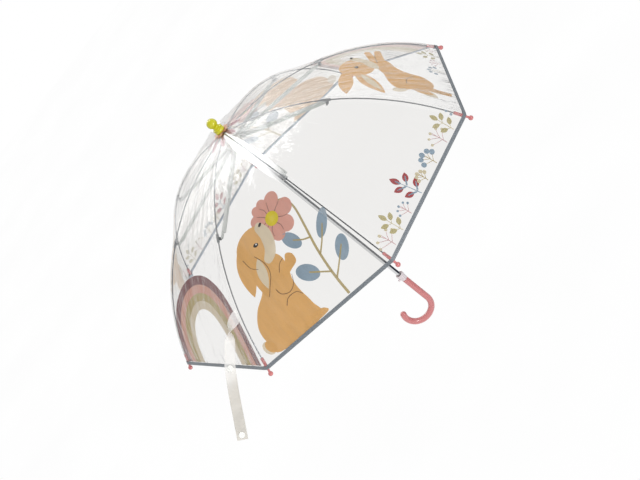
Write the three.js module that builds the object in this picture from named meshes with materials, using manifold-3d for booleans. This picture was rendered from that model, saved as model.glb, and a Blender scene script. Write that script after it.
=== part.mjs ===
// Children's dome umbrella, open, standing upright on its shaft: +Z runs up the shaft to the tip.
// The origin is on the shaft axis, in the middle of the straight grip. Millimetres throughout.
// Ribs stand at every 45 degrees, rib 1 at azimuth 180, so that rib 3 faces -Y and rib 5 faces +X.

import * as THREE from 'three';
import { mergeVertices } from 'three/addons/utils/BufferGeometryUtils.js';
import Module from 'manifold-3d';

const wasm = await Module();
wasm.setup();

// ---------------------------------------------------------------- driving dimensions

const RIB_COUNT = 8;
const FIRST_RIB_AZIMUTH = 180; // degrees
const HEM_RADIUS = 350; // axis to the film at a hem corner
const HEM_Z = 271; // height of the hem corners
const DOME_HEIGHT = 208; // hem corners to the film's apex
const FILM = 0.5; // thickness of the film's solid
const FILM_LIFT = 3.5; // rib centreline to the film's middle surface
const HEM_OVERHANG = 4; // film past the corner, measured along the rib
const PANEL_GAP = 0.4; // between two neighbouring gores

const SHAFT_RADIUS = 4;
const SHAFT_WALL = 0.6;
const FIT = 0.35; // radial gap between the shaft and what sits on it
const SHAFT_BOTTOM = -14;
const SHAFT_TOP = 500;

const GRIP_RADIUS = 6;
const GRIP_HALF = 31; // half the straight part of the handle
const HOOK_RADIUS = 28; // centreline of the hook
const HOOK_TURN = 204; // degrees of arc
const HOOK_AZIMUTH = 170; // the way the hook opens, in degrees
const COLLAR_HEIGHT = 15;

const RIB_RADIUS = 1;
const CROWN_R = 9; // axis to a rib's pivot in the crown
const CROWN_Z = 472.4; // height of the rib pivots, and the top of the ribs' arc
const RIB_EYE = 1.9; // outer radius of the flattened eye
const EYE_THICK = 1.8;

const JOINT_R = 195; // axis to the rib under its stretcher clip
const LUG_DROP = 6; // rib centreline to the stretcher's pivot
const CLIP_LENGTH = 14;
const CLIP_RADIUS = 2.3;

const RUNNER_R = 11; // axis to a stretcher's pivot, seen from the side
const RUNNER_Z = 450; // height of the stretchers' pivots with the umbrella open
const RUNNER_UP = 4.5; // runner above its pivots
const RUNNER_DOWN = 38; // runner below its pivots
const SIDE_STEP = 6; // a stretcher stands beside its rib by this much
const RUNNER_WIRE_R = Math.hypot(RUNNER_R, SIDE_STEP);
const STRETCHER_ROOT_WIDTH = 9;
const STRETCHER_END_WIDTH = 7;
const STRETCHER_DEPTH = 4;

const TIP_BACK = 16; // tip sleeve before the hem corner
const TIP_RADIUS = 2.6;
const TIP_BALL = 4;
const TIP_NECK = 8; // end of the sleeve to the middle of the ball

const CATCH_AZIMUTH = 90;
const CATCH_HEIGHT = 26;
const OPEN_CATCH_TOP = RUNNER_Z - RUNNER_DOWN - 1;
const CLOSED_CATCH_TOP = 112;

const STRAP_RIB = 2; // the strap is welded into the seam over this rib
const STRAP_ROOT = 93; // its root above the hem corner, along the rib
const STRAP_LENGTH = 198;
const STRAP_WIDTH = 17;
const STRAP_THICK = 1;
const STRAP_HANG = [198.4, 33.9]; // the way it hangs: azimuth, and degrees below level
const STRAP_FACE = [269.7, 25.5]; // the way its face looks: azimuth, and degrees above level
const STRAP_TWIST = 55; // it makes a half turn over this length from its root
const SNAP_SPOTS = [87, 191]; // from the root to the stud and to its cap
const SNAP_RADIUS = 5;

// ---------------------------------------------------------------- derived dimensions

const deg = THREE.MathUtils.degToRad;
const smooth = THREE.MathUtils.smoothstep;
const SECTOR = 360 / RIB_COUNT;
const HALF_SECTOR = deg(SECTOR / 2);

const APEX_Z = HEM_Z + DOME_HEIGHT;
const cornerSlope = 2 * Math.atan(DOME_HEIGHT / HEM_RADIUS);
const CORNER_R = HEM_RADIUS - FILM_LIFT * Math.sin(cornerSlope);
const CORNER_Z = HEM_Z - FILM_LIFT * Math.cos(cornerSlope);
const RISE = CROWN_Z - CORNER_Z;
const ARC = (CORNER_R ** 2 + RISE ** 2) / (2 * RISE); // radius of a rib's arc
const ARC_Z = CROWN_Z - ARC; // height of the arc's centre, on the axis
const CORNER_ANGLE = Math.asin(CORNER_R / ARC);

const ribPoint = (angle, lift = 0) => {
  const radius = ARC + lift;
  return new THREE.Vector3(radius * Math.sin(angle), 0, ARC_Z + radius * Math.cos(angle));
};

// the film rises from the ribs to the washer on the crown
const filmLift = (angle) => {
  const peak = APEX_Z - CROWN_Z - FILM_LIFT;
  return FILM_LIFT + peak * (1 - smooth(ARC * Math.sin(angle), 10, 45));
};

const PANEL_MIDDLE = Math.cos(HALF_SECTOR); // a panel's middle is nearer the axis than its ribs

// ---------------------------------------------------------------- solids and meshes

function solid(geometry) {
  const bare = geometry.clone();
  bare.deleteAttribute('normal');
  bare.deleteAttribute('uv');
  const merged = mergeVertices(bare, 1e-4);
  const vertProperties = new Float32Array(merged.attributes.position.array);
  const triVerts = new Uint32Array(merged.index.array);
  return new wasm.Manifold(new wasm.Mesh({ numProp: 3, vertProperties, triVerts }));
}

function geometryOf(manifold) {
  const { vertProperties, triVerts } = manifold.getMesh();
  const geometry = new THREE.BufferGeometry();
  geometry.setAttribute('position', new THREE.BufferAttribute(vertProperties, 3));
  geometry.setIndex(new THREE.BufferAttribute(triVerts, 1));
  return geometry;
}

const join = (...parts) => parts.slice(1).reduce((sum, part) => sum.add(part), parts[0]);
const cut = (body, ...tools) => tools.reduce((rest, tool) => rest.subtract(tool), body);

// profile points are [radius, height] pairs; a hollow ring closes on itself
function lathe(points, segments = 24) {
  const profile = points.map(([r, z]) => new THREE.Vector2(r, z));
  return new THREE.LatheGeometry(profile, segments).rotateX(Math.PI / 2);
}

function ring(inner, outer, low, high, segments = 24) {
  return lathe([[inner, low], [outer, low], [outer, high], [inner, high], [inner, low]], segments);
}

function rod(radius, low, high, segments = 24) {
  const length = high - low;
  const geometry = new THREE.CylinderGeometry(radius, radius, length, segments);
  return geometry.rotateX(Math.PI / 2).translate(0, 0, low + length / 2);
}

function block(xLow, xHigh, yLow, yHigh, zLow, zHigh) {
  const geometry = new THREE.BoxGeometry(xHigh - xLow, yHigh - yLow, zHigh - zLow);
  return geometry.translate((xLow + xHigh) / 2, (yLow + yHigh) / 2, (zLow + zHigh) / 2);
}

// a plate seen from the side: its outline is in X and Z, and it fills yLow to yHigh
function plate(shape, yLow, yHigh, curveSegments = 6) {
  const depth = yHigh - yLow;
  const geometry = new THREE.ExtrudeGeometry(shape, { depth, bevelEnabled: false, curveSegments });
  return geometry.rotateX(Math.PI / 2).translate(0, yHigh, 0);
}

function polygon(points) {
  return new THREE.Shape(points.map(([x, y]) => new THREE.Vector2(x, y)));
}

function tube(curve, radius, steps, sides) {
  const section = new THREE.Shape();
  section.absarc(0, 0, radius, 0, 2 * Math.PI);
  const options = { extrudePath: curve, steps, bevelEnabled: false, curveSegments: sides };
  return new THREE.ExtrudeGeometry(section, options);
}

// a link's end: a strip from x = 0 to x = length, round about the origin, with a hole there
function lugShape(length, radius, hole) {
  const shape = new THREE.Shape();
  shape.moveTo(length, -radius);
  shape.lineTo(length, radius);
  shape.lineTo(0, radius);
  shape.absarc(0, 0, radius, Math.PI / 2, 1.5 * Math.PI);
  shape.closePath();
  const opening = new THREE.Path();
  opening.absarc(0, 0, hole, 0, 2 * Math.PI);
  shape.holes.push(opening);
  return shape;
}

// a closed thin shell: rows of outer points over matching rows of inner points
function shell(outer, inner) {
  const rows = outer.length;
  const columns = outer[0].length;
  const points = [...outer.flat(), ...inner.flat()];
  const at = (side, row, column) => (side * rows + row) * columns + column;
  const index = [];
  const quad = (a, b, c, d) => index.push(a, b, c, a, c, d);
  for (let row = 0; row < rows - 1; row += 1) {
    for (let column = 0; column < columns - 1; column += 1) {
      const square = (side) => [
        at(side, row, column),
        at(side, row + 1, column),
        at(side, row + 1, column + 1),
        at(side, row, column + 1),
      ];
      quad(...square(0));
      quad(...square(1).reverse());
    }
  }
  for (let row = 0; row < rows - 1; row += 1) {
    const last = columns - 1;
    quad(at(0, row, 0), at(1, row, 0), at(1, row + 1, 0), at(0, row + 1, 0));
    quad(at(0, row + 1, last), at(1, row + 1, last), at(1, row, last), at(0, row, last));
  }
  for (let column = 0; column < columns - 1; column += 1) {
    const last = rows - 1;
    quad(at(0, 0, column + 1), at(1, 0, column + 1), at(1, 0, column), at(0, 0, column));
    quad(at(0, last, column), at(1, last, column), at(1, last, column + 1), at(0, last, column + 1));
  }
  const geometry = new THREE.BufferGeometry().setFromPoints(points);
  geometry.setIndex(index);
  return geometry;
}

const umbrella = new THREE.Group();

const finishes = {
  chrome: { color: 0xc9ccce, roughness: 0.12, metalness: 1 },
  darkWire: { color: 0x3c4046, roughness: 0.35, metalness: 0.8 },
  spring: { color: 0x9a9da0, roughness: 0.3, metalness: 1 },
  yellow: { color: 0xd4c81e, roughness: 0.25, metalness: 0 },
  pink: { color: 0xcf8585, roughness: 0.22, metalness: 0 },
  tipPink: { color: 0xcc6470, roughness: 0.25, metalness: 0 },
  milk: { color: 0xe4dcdc, roughness: 0.4, metalness: 0 },
  paleBar: { color: 0xd3d6d2, roughness: 0.4, metalness: 0 },
  white: { color: 0xf0f0ee, roughness: 0.4, metalness: 0 },
  film: { color: 0xeeeeec, roughness: 0.1, metalness: 0, transparent: true, opacity: 0.3 },
  rosette: { color: 0xa8704a, roughness: 0.7, metalness: 0 },
  strap: { color: 0xdcdad4, roughness: 0.3, metalness: 0 },
};

function add(name, geometry, finish, azimuth = 0) {
  const mesh = new THREE.Mesh(geometry, new THREE.MeshStandardMaterial(finishes[finish]));
  mesh.name = name;
  const holder = new THREE.Group();
  holder.rotation.z = deg(azimuth);
  holder.add(mesh);
  umbrella.add(holder);
}

// ---------------------------------------------------------------- shaft, tip and crown

function shaftTube() {
  const tubeBody = solid(ring(SHAFT_RADIUS - SHAFT_WALL, SHAFT_RADIUS, SHAFT_BOTTOM, SHAFT_TOP));
  const windowHalf = 1.1;
  const windows = [OPEN_CATCH_TOP, CLOSED_CATCH_TOP].map((top) => {
    const low = top - CATCH_HEIGHT + 4;
    return solid(block(-windowHalf, windowHalf, 0, SHAFT_RADIUS + 1, low, top + 1));
  });
  return geometryOf(cut(tubeBody, ...windows));
}

// ball, waist and collar in one turned piece, blind on the end of the shaft
function ferrule() {
  const low = APEX_Z + 2.1;
  const collarTop = low + 9;
  const ballRadius = 9.2;
  const ballZ = low + 28.5 - ballRadius;
  const waist = 6.8;
  const points = [[SHAFT_RADIUS + FIT, low], [8.6, low], [9.2, low + 0.8], [9.2, collarTop - 0.8]];
  points.push([8.6, collarTop], [7.2, collarTop + 0.2], [waist, collarTop + 2]);
  const start = Math.asin(waist / ballRadius);
  for (let step = 0; step <= 7; step += 1) {
    const angle = Math.PI - start - (Math.PI - start) * (step / 7);
    points.push([Math.max(0, ballRadius * Math.sin(angle)), ballZ + ballRadius * Math.cos(angle)]);
  }
  points[points.length - 1][0] = 0;
  const boreTop = SHAFT_TOP + 0.5;
  return lathe([[0, boreTop], [SHAFT_RADIUS + FIT, boreTop], ...points], 20);
}

function crown() {
  const bore = SHAFT_RADIUS + FIT;
  const top = CROWN_Z + 3.8;
  const low = CROWN_Z - 5.5;
  const outline = [[bore, low], [8.5, low], [11.5, CROWN_Z - 2.5], [11.5, top], [bore, top], [bore, low]];
  const groove = solid(ring(CROWN_R - 0.8, 13, CROWN_Z - 0.8, CROWN_Z + 0.8));
  const slots = [];
  for (let rib = 0; rib < RIB_COUNT; rib += 1) {
    const slot = block(6.8, 14, -1.6, 1.6, CROWN_Z - 9, CROWN_Z + 2.3);
    slots.push(solid(slot.rotateZ(deg(rib * SECTOR))));
  }
  return geometryOf(cut(solid(lathe(outline)), groove, ...slots));
}

add('shaft_tube', shaftTube(), 'chrome');
add('ferrule', ferrule(), 'yellow');
add('rosette', ring(SHAFT_RADIUS + FIT, 12, APEX_Z + 0.9, APEX_Z + 1.7), 'rosette');
add('canopy_washer', ring(SHAFT_RADIUS + FIT, 8, APEX_Z - 2.5, APEX_Z - 1.3), 'white');
add('crown_notch', crown(), 'white');
add('crown_wire', new THREE.TorusGeometry(CROWN_R, 0.45, 5, 24).translate(0, 0, CROWN_Z), 'spring');
add('stop_ring', ring(SHAFT_RADIUS + FIT, 6.2, 459, 462, 16), 'spring');

// ---------------------------------------------------------------- handle

function handle() {
  const hook = new THREE.CurvePath();
  const bend = new THREE.Vector3(0, 0, -GRIP_HALF);
  hook.add(new THREE.LineCurve3(new THREE.Vector3(0, 0, GRIP_HALF), bend));
  const arc = new THREE.Curve();
  arc.getPoint = (t, target = new THREE.Vector3()) => {
    const angle = deg(HOOK_TURN) * t;
    const out = HOOK_RADIUS * (1 - Math.cos(angle));
    return target.set(out, 0, -GRIP_HALF - HOOK_RADIUS * Math.sin(angle));
  };
  hook.add(arc);
  const end = arc.getPoint(1);
  const bar = solid(tube(hook, GRIP_RADIUS, 24, 8));
  const endBall = solid(new THREE.SphereGeometry(GRIP_RADIUS - 0.1, 14, 8).translate(end.x, 0, end.z));
  const bore = solid(rod(SHAFT_RADIUS + FIT, SHAFT_BOTTOM - 1, GRIP_HALF + 1));
  return geometryOf(cut(join(bar, endBall), bore));
}

// soft cup round the shaft on top of the handle, with a small nub on its side
function handleCollar() {
  const low = GRIP_HALF + 0.3;
  const top = low + COLLAR_HEIGHT;
  const bore = SHAFT_RADIUS + FIT;
  const outline = [[bore, low], [6.2, low], [7.7, top - 1.5], [7.4, top], [6.2, top]];
  outline.push([bore, top - 4], [bore, low]);
  const nub = new THREE.SphereGeometry(2.4, 10, 6).translate(8.4, 0, top - 9);
  return geometryOf(join(solid(lathe(outline)), solid(nub)));
}

add('handle', handle(), 'pink', HOOK_AZIMUTH);
add('handle_collar', handleCollar(), 'milk', FIRST_RIB_AZIMUTH);

// ---------------------------------------------------------------- spring catches

// a flat spring blade in the shaft, whose nose stands out through the window
function springCatch(top) {
  const low = top - CATCH_HEIGHT;
  const nose = 6.6;
  const outline = [[1, low], [2.6, low], [3.1, low + 7], [nose, top - 1.5], [nose, top], [1.6, top]];
  return plate(polygon(outline), -0.75, 0.75);
}

add('open_catch', springCatch(OPEN_CATCH_TOP), 'spring', CATCH_AZIMUTH);
add('closed_catch', springCatch(CLOSED_CATCH_TOP), 'spring', CATCH_AZIMUTH);

// ---------------------------------------------------------------- runner

function runner() {
  const bore = SHAFT_RADIUS + FIT;
  const top = RUNNER_Z + RUNNER_UP;
  const low = RUNNER_Z - RUNNER_DOWN;
  const outline = [[bore, low], [11, low], [11, low + 3], [8.6, low + 5], [8.6, RUNNER_Z - 12]];
  outline.push([9.5, RUNNER_Z - 9], [15.5, RUNNER_Z - RUNNER_UP], [15.5, top], [bore, top], [bore, low]);
  const groove = solid(ring(RUNNER_WIRE_R - 0.9, 17, RUNNER_Z - 0.9, RUNNER_Z + 0.9));
  const slots = [];
  for (let rib = 0; rib < RIB_COUNT; rib += 1) {
    const slot = block(RUNNER_R - 3.2, 18, SIDE_STEP - 1.5, SIDE_STEP + 1.5, RUNNER_Z - 6, RUNNER_Z + 6);
    slots.push(solid(slot.rotateZ(deg(rib * SECTOR))));
  }
  // the catches' noses pass along this keyway
  const keyway = block(0, 7.4, -1.7, 1.7, low - 1, top + 1).rotateZ(deg(CATCH_AZIMUTH));
  return geometryOf(cut(solid(lathe(outline)), groove, solid(keyway), ...slots));
}

const runnerWire = new THREE.TorusGeometry(RUNNER_WIRE_R, 0.45, 5, 24);
add('runner', runner(), 'white');
add('runner_wire', runnerWire.translate(0, 0, RUNNER_Z), 'spring');

// ---------------------------------------------------------------- ribs, tips and clips

function rib() {
  const start = Math.asin((CROWN_R + 3) / ARC);
  const end = CORNER_ANGLE - 3 / ARC;
  const arc = new THREE.Curve();
  arc.getPoint = (t, target = new THREE.Vector3()) => target.copy(ribPoint(start + (end - start) * t));
  const wire = solid(tube(arc, RIB_RADIUS, 17, 3));
  const eye = plate(lugShape(5, RIB_EYE, 0.85), -EYE_THICK / 2, EYE_THICK / 2, 4);
  eye.translate(CROWN_R, 0, CROWN_Z);
  return geometryOf(join(solid(eye), wire));
}

// sleeve over the end of the rib, with a ball past the hem
function ribTip() {
  const length = TIP_BACK + HEM_OVERHANG;
  const ballAt = length + TIP_NECK;
  const bore = RIB_RADIUS + 0.35;
  const points = [[0, TIP_BACK - 2], [bore, TIP_BACK - 2], [bore, 0], [TIP_RADIUS - 0.3, 0]];
  points.push([TIP_RADIUS, 0.4], [TIP_RADIUS, length], [1.9, length + 0.8]);
  const start = Math.PI - Math.asin(1.9 / TIP_BALL);
  for (let step = 0; step <= 4; step += 1) {
    const angle = start * (1 - step / 4);
    points.push([TIP_BALL * Math.sin(angle), ballAt + TIP_BALL * Math.cos(angle)]);
  }
  points[points.length - 1][0] = 0;
  const angle = CORNER_ANGLE - (TIP_BACK - 6) / ARC;
  const middle = ribPoint(angle);
  const turned = lathe(points, 9).translate(0, 0, -6);
  return turned.rotateY(Math.PI / 2 + angle).translate(middle.x, 0, middle.z);
}

const jointAngle = Math.asin(JOINT_R / ARC);
const ribAtJoint = ribPoint(jointAngle);
const pivot = ribPoint(jointAngle, -LUG_DROP);

// crimped sleeve on the rib with an eye on its inner side
function jointClip() {
  const sleeve = ring(RIB_RADIUS + 0.3, CLIP_RADIUS, -CLIP_LENGTH / 2, CLIP_LENGTH / 2, 9);
  const eye = plate(lugShape(LUG_DROP - RIB_RADIUS - 0.4, 2.4, 1.1), -0.9, 0.9, 3);
  sleeve.rotateY(Math.PI / 2);
  eye.rotateY(-Math.PI / 2).translate(0, 0, -LUG_DROP);
  const body = join(solid(sleeve), solid(eye));
  return geometryOf(body).rotateY(jointAngle).translate(ribAtJoint.x, 0, ribAtJoint.z);
}

const stretcherRun = pivot.x - RUNNER_R;
const stretcherFall = RUNNER_Z - pivot.z;
const STRETCHER = Math.hypot(stretcherRun, stretcherFall); // pivot to pivot

// moulded channel bar, open below, with a thin lug at each end
function stretcher() {
  const rootLow = SIDE_STEP - STRETCHER_ROOT_WIDTH / 2;
  const rootHigh = SIDE_STEP + STRETCHER_ROOT_WIDTH / 2;
  const endLow = SIDE_STEP - STRETCHER_END_WIDTH / 2;
  const endHigh = SIDE_STEP + STRETCHER_END_WIDTH / 2;
  const from = 9;
  const to = STRETCHER - 9;
  const wall = 1.1;
  const plan = (inset) => polygon([
    [from + inset, rootLow + inset],
    [to - inset, endLow + inset],
    [to - inset, endHigh - inset],
    [from + inset, rootHigh - inset],
  ]);
  const half = STRETCHER_DEPTH / 2;
  const bar = new THREE.ExtrudeGeometry(plan(0), { depth: STRETCHER_DEPTH, bevelEnabled: false });
  const channel = new THREE.ExtrudeGeometry(plan(wall), { depth: STRETCHER_DEPTH, bevelEnabled: false });
  bar.translate(0, 0, -half);
  channel.translate(0, 0, -half - wall);
  const rootLug = plate(lugShape(from + 3, 2.8, 1.6), SIDE_STEP - 1.2, SIDE_STEP + 1.2, 4);
  const endLug = plate(lugShape(14, 1.9, 1.1), endLow + 0.1, endLow + 2.1, 3);
  endLug.rotateZ(Math.PI).translate(STRETCHER, 2 * endLow + 2.2, 0);
  const body = join(cut(solid(bar), solid(channel)), solid(rootLug), solid(endLug));
  return geometryOf(body).rotateY(Math.atan2(stretcherFall, stretcherRun)).translate(RUNNER_R, 0, RUNNER_Z);
}

// ---------------------------------------------------------------- canopy

// one gore: the film from a rib half way to its two neighbours, folded along the rib
function gore() {
  const end = CORNER_ANGLE + HEM_OVERHANG / ARC;
  const radii = [6, 14, 28, 45, 80, 120, 160, 200, 240, 275, 305, 326, 339, 346];
  const angles = [...radii.map((r) => Math.asin(r / ARC)), end];
  const surface = (side) => angles.map((angle) => {
    const ridge = ribPoint(angle, filmLift(angle) + side * FILM / 2);
    const edge = PANEL_MIDDLE * ridge.x - PANEL_GAP / 2 / Math.sin(HALF_SECTOR);
    const across = edge * Math.sin(HALF_SECTOR);
    const inward = edge * Math.cos(HALF_SECTOR);
    return [
      new THREE.Vector3(inward, -across, ridge.z),
      ridge,
      new THREE.Vector3(inward, across, ridge.z),
    ];
  });
  return shell(surface(1), surface(-1));
}

const ribGeometry = rib();
const tipGeometry = ribTip();
const clipGeometry = jointClip();
const stretcherGeometry = stretcher();
const goreGeometry = gore();

for (let number = 1; number <= RIB_COUNT; number += 1) {
  const azimuth = FIRST_RIB_AZIMUTH + (number - 1) * SECTOR;
  add(`rib_${number}`, ribGeometry.clone(), 'darkWire', azimuth);
  add(`rib_tip_${number}`, tipGeometry.clone(), 'tipPink', azimuth);
  add(`joint_clip_${number}`, clipGeometry.clone(), 'darkWire', azimuth);
  add(`stretcher_${number}`, stretcherGeometry.clone(), 'paleBar', azimuth);
  add(`canopy_gore_${number}`, goreGeometry.clone(), 'film', azimuth);
}

// ---------------------------------------------------------------- strap

function compass([azimuth, elevation]) {
  const level = Math.cos(deg(elevation));
  const [x, y] = [Math.cos(deg(azimuth)), Math.sin(deg(azimuth))];
  return new THREE.Vector3(level * x, level * y, Math.sin(deg(elevation)));
}

const strapDown = compass([STRAP_HANG[0], -STRAP_HANG[1]]);
const strapFace = compass(STRAP_FACE);
const strapSide = strapFace.clone().cross(strapDown).normalize();
const seamAngle = CORNER_ANGLE - STRAP_ROOT / ARC;
const seamTurn = deg(FIRST_RIB_AZIMUTH + (STRAP_RIB - 1) * SECTOR);
const zAxis = new THREE.Vector3(0, 0, 1);
const strapLift = FILM_LIFT + FILM / 2 + 0.4 + STRAP_THICK / 2;
const strapStart = ribPoint(seamAngle, strapLift).applyAxisAngle(zAxis, seamTurn);
const seam = new THREE.Vector3(Math.cos(seamAngle), 0, -Math.sin(seamAngle));
seam.applyAxisAngle(zAxis, seamTurn);

// the strap swings out from the seam, drops, then leans a little to the other side
function strapLean(along) {
  const lean = -28 + 28 * smooth(along, 14, 34) + 8 * smooth(along, 74, 92) + 3 * smooth(along, 100, 140);
  return deg(lean);
}

const inPlane = (down, side) => strapDown.clone().multiplyScalar(down).addScaledVector(strapSide, side);

const STRAP_ROWS = 44;
const strapRows = [];
const walker = strapStart.clone();
for (let row = 0; row <= STRAP_ROWS; row += 1) {
  const pitch = STRAP_LENGTH / STRAP_ROWS;
  const along = row * pitch;
  const lean = strapLean(along);
  const path = inPlane(Math.cos(lean), Math.sin(lean));
  const turn = Math.PI * smooth(along, 6, STRAP_TWIST);
  const flat = inPlane(-Math.sin(lean), Math.cos(lean)).multiplyScalar(Math.cos(turn));
  const twisted = flat.addScaledVector(strapFace, Math.sin(turn));
  const across = seam.clone().lerp(twisted, smooth(along, 0, 14)).normalize();
  const out = path.clone().cross(across).normalize();
  strapRows.push({ along, middle: walker.clone(), across, out });
  const ahead = strapLean(along + pitch / 2);
  walker.add(inPlane(Math.cos(ahead), Math.sin(ahead)).multiplyScalar(pitch));
}

function strapTail() {
  const surface = (lift) => strapRows.map(({ middle, across, out }) => {
    const centre = middle.clone().addScaledVector(out, lift);
    return [-1, 1].map((side) => centre.clone().addScaledVector(across, (side * STRAP_WIDTH) / 2));
  });
  return shell(surface(STRAP_THICK / 2), surface(-STRAP_THICK / 2));
}

// half a press stud on the strap's face, at a distance from its root
function snap(distance, height) {
  const next = strapRows.findIndex((row) => row.along > distance);
  const [low, high] = [strapRows[next - 1], strapRows[next]];
  const share = (distance - low.along) / (high.along - low.along);
  const spot = low.middle.clone().lerp(high.middle, share);
  const base = STRAP_THICK / 2 + 0.4;
  const points = [[0, base], [SNAP_RADIUS, base], [SNAP_RADIUS, base + height * 0.5]];
  points.push([SNAP_RADIUS * 0.7, base + height], [0, base + height]);
  const turn = new THREE.Quaternion().setFromUnitVectors(zAxis, strapFace);
  return lathe(points, 16).applyQuaternion(turn).translate(spot.x, spot.y, spot.z);
}

add('strap_tail', strapTail(), 'strap');
add('snap_stud', snap(SNAP_SPOTS[0], 2.4), 'white');
add('snap_cap', snap(SNAP_SPOTS[1], 1.8), 'white');

export default umbrella;
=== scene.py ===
"""Looks of a children's dome umbrella: clear film on wire ribs, printed panels, hooked handle.

Metres, in the part's own frame: +Z up the shaft, rib n at azimuth 180 + 45 (n - 1) degrees.
Panel p lies between rib p and rib p + 1.
"""
import random
from math import asin, atan, ceil, cos, exp, floor, hypot, pi, radians, sin, sqrt, tau

import bmesh
import bpy
import numpy as np
from mathutils import Matrix, Vector
from mathutils.geometry import delaunay_2d_cdt


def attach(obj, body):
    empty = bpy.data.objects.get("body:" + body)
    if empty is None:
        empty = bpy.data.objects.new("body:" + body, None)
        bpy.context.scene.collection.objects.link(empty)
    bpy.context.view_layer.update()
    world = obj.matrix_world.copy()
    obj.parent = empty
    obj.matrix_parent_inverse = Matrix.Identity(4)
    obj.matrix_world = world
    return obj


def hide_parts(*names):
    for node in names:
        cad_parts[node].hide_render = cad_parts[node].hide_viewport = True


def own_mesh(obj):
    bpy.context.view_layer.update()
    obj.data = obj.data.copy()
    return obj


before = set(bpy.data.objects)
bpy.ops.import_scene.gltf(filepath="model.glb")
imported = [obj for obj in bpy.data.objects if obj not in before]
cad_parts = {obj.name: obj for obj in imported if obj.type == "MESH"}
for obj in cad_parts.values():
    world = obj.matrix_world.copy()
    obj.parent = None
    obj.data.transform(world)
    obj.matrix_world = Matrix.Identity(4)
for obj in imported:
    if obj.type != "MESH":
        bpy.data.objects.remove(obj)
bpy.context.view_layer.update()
RNG = random.Random(20)
MM = 0.001

# ---- the canopy's surface

RIBS = 8
HEM_RADIUS, HEM_Z, DOME_HEIGHT = 0.350, 0.271, 0.208
FILM_LIFT, OVERHANG = 0.0035, 0.004
CROWN_Z = 0.4724
APEX_Z = HEM_Z + DOME_HEIGHT
CORNER_SLOPE = 2 * atan(DOME_HEIGHT / HEM_RADIUS)
CORNER_R = HEM_RADIUS - FILM_LIFT * sin(CORNER_SLOPE)
CORNER_Z = HEM_Z - FILM_LIFT * cos(CORNER_SLOPE)
RISE = CROWN_Z - CORNER_Z
ARC = (CORNER_R ** 2 + RISE ** 2) / (2 * RISE)
ARC_Z = CROWN_Z - ARC
CORNER = asin(CORNER_R / ARC)
HEM = CORNER + OVERHANG / ARC
TOP = asin(0.006 / ARC)  # the film's edge round the shaft
HALF = pi / RIBS
COS, SIN = cos(HALF), sin(HALF)
CAP_RIM, CAP_FOOT = 0.010, 0.045  # between these radii the film rises towards the apex
SAG, RIPPLE = 0.0020, 0.00035
SEAM_DIP, SEAM_ROUND = 0.0005, 0.0025  # the film turns over a rib in a small round, not a crease


def rib_azimuth(rib):
    return radians(180 + 45 * (rib - 1))


def smoothstep(x, low, high):
    t = np.clip((x - low) / (high - low), 0, 1)
    return t * t * (3 - 2 * t)


def film_lift(angle):
    peak = APEX_Z - CROWN_Z - FILM_LIFT
    return FILM_LIFT + peak * (1 - smoothstep(ARC * np.sin(angle), CAP_RIM, CAP_FOOT))


def half_width(angle):
    return (ARC + film_lift(angle)) * np.sin(angle) * SIN


WAVES = [[(RNG.uniform(1.5, 4.5), RNG.uniform(-2.5, 2.5), RNG.uniform(0, 6.28)) for _ in range(3)]
         for _ in range(RIBS)]


def film(panel, angle, across, off=0.0):
    """Points of a panel's film, at an angle down the ribs and from -1 to 1 across it."""
    angle, across = np.asarray(angle, float), np.asarray(across, float)
    down = np.clip(angle / HEM, 0, 1)
    reach = ARC + film_lift(angle) + off
    x, z = reach * np.sin(angle), ARC_Z + reach * np.cos(angle)
    half = x * SIN
    dip = SAG * (1 - across ** 2) * np.sin(pi * down)
    for wide, steep, phase in WAVES[panel - 1]:
        wave = np.sin(wide * pi * across + steep * tau * down + phase)
        dip = dip + RIPPLE * wave * (1 - across ** 2) * smoothstep(down, 0.03, 0.25) * (1 - down ** 6)
    dip = dip + SEAM_DIP * np.exp(-(1 - np.abs(across)) * half / SEAM_ROUND)
    nx, nz = np.sin(angle), COS * np.cos(angle)
    size = np.hypot(nx, nz)
    out_x = x * COS - dip * nx / size
    out_z = z - dip * nz / size
    mid = rib_azimuth(panel) + HALF
    y = across * half
    return np.stack([out_x * cos(mid) - y * sin(mid), out_x * sin(mid) + y * cos(mid), out_z], -1)


# distance up a panel's middle from the hem corners' line, for each angle
_angles = np.linspace(HEM, TOP, 700)
_x = (ARC + FILM_LIFT) * np.sin(_angles) * COS
_z = ARC_Z + (ARC + FILM_LIFT) * np.cos(_angles)
_up = np.concatenate([[0], np.cumsum(np.hypot(np.diff(_x), np.diff(_z)))]) - OVERHANG


def angle_at(up):
    return np.interp(up, _up, _angles)


def on_panel(panel, side, up, off=0.0):
    """Points of a panel from flat coordinates: right of its middle, and up from the hem."""
    angle = angle_at(up)
    return film(panel, angle, np.clip(np.asarray(side) / half_width(angle), -1, 1), off)


# ---- materials

def srgb(r, g, b):
    def linear(c):
        c /= 255
        return c / 12.92 if c <= 0.04045 else ((c + 0.055) / 1.055) ** 2.4
    return (linear(r), linear(g), linear(b), 1.0)


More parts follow.
